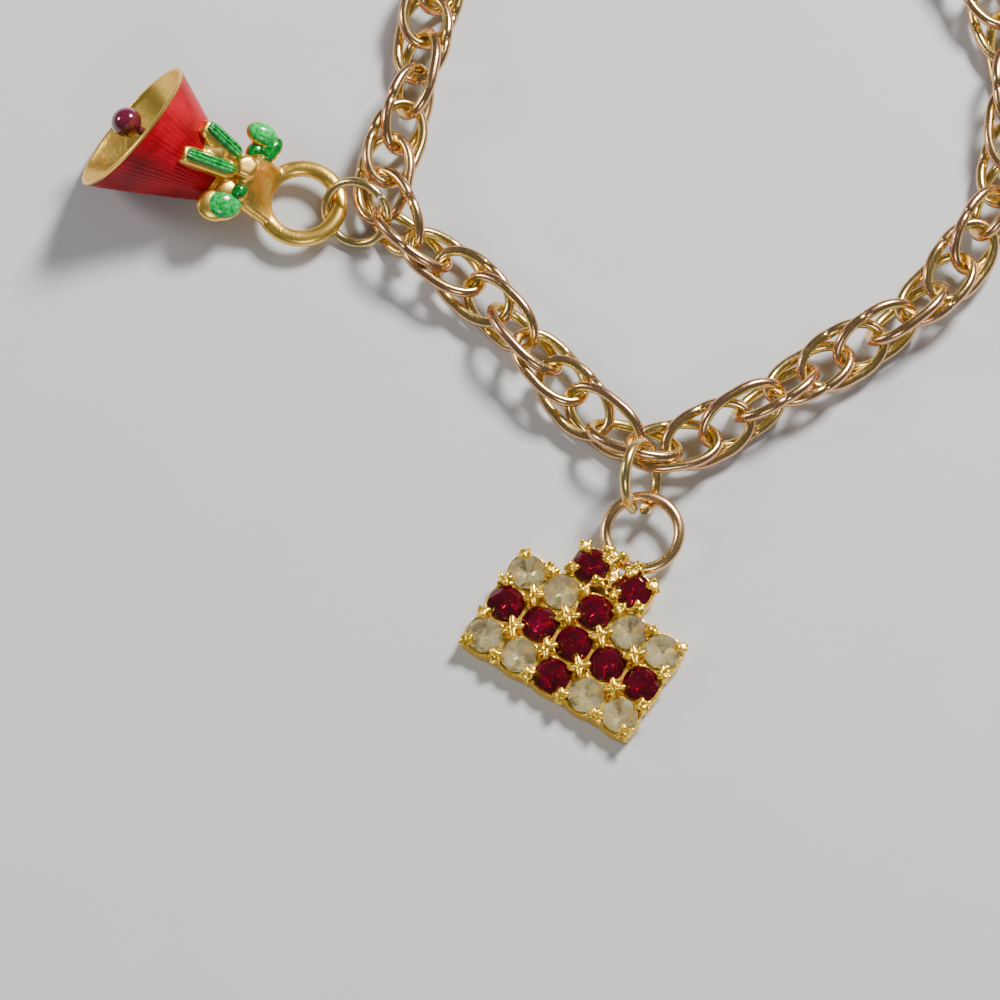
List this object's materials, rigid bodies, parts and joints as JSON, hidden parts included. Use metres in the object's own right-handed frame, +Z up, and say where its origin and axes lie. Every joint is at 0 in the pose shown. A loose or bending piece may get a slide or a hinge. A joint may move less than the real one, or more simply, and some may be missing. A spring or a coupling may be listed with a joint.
{
  "type": "charm bracelet",
  "caption": "Closed rope-link charm bracelet lying flat, with a stone-set gift box charm and an enamelled bell charm hanging on jump rings.",
  "frame": {"origin": "centre of the bounding box in X and Y, on the surface the bracelet lies on", "axes": "+Z up from that surface, +X to the right and +Y away from the viewer in the picture"},
  "size_m": [0.0862, 0.0936, 0.0119],
  "materials": {
    "chain_metal": "polished gold-tone plate, worn to a rosy brown in places",
    "clasp_metal": "polished gold-tone plate",
    "setting_metal": "bright yellow gold-tone plate",
    "ring_metal": "dull olive gold-tone plate",
    "casting_metal": "satin yellow gold-tone plate",
    "clear_stone": "cut and foil-backed",
    "red_stone": "cut and foil-backed, garnet red",
    "red_enamel": "glossy translucent red enamel over ribs",
    "green_enamel": "glossy green enamel",
    "clapper_gloss": "glossy dark purple-red coat"
  },
  "bodies": {
    "root": {"chain_upper": "chain_metal", "chain_lower": "chain_metal", "clasp": "clasp_metal", "gift_setting": "setting_metal", "gift_stone_1": "clear_stone", "gift_stone_2": "clear_stone", "gift_stone_3": "red_stone", "gift_stone_4": "clear_stone", "gift_stone_5": "clear_stone", "gift_stone_6": "red_stone", "gift_stone_7": "red_stone", "gift_stone_8": "red_stone", "gift_stone_9": "red_stone", "gift_stone_10": "red_stone", "gift_stone_11": "clear_stone", "gift_stone_12": "clear_stone", "gift_stone_13": "red_stone", "gift_stone_14": "clear_stone", "gift_stone_15": "clear_stone", "gift_stone_16": "red_stone", "gift_stone_17": "red_stone", "gift_jump_ring": "ring_metal", "bell_casting": "casting_metal", "bell_enamel": "red_enamel", "bow_enamel_upper": "green_enamel", "bow_enamel_lower": "green_enamel", "bow_enamel_tail_left": "green_enamel", "bow_enamel_tail_right": "green_enamel", "bell_clapper": "clapper_gloss", "bell_jump_ring": "ring_metal"}
  },
  "joints": []
}
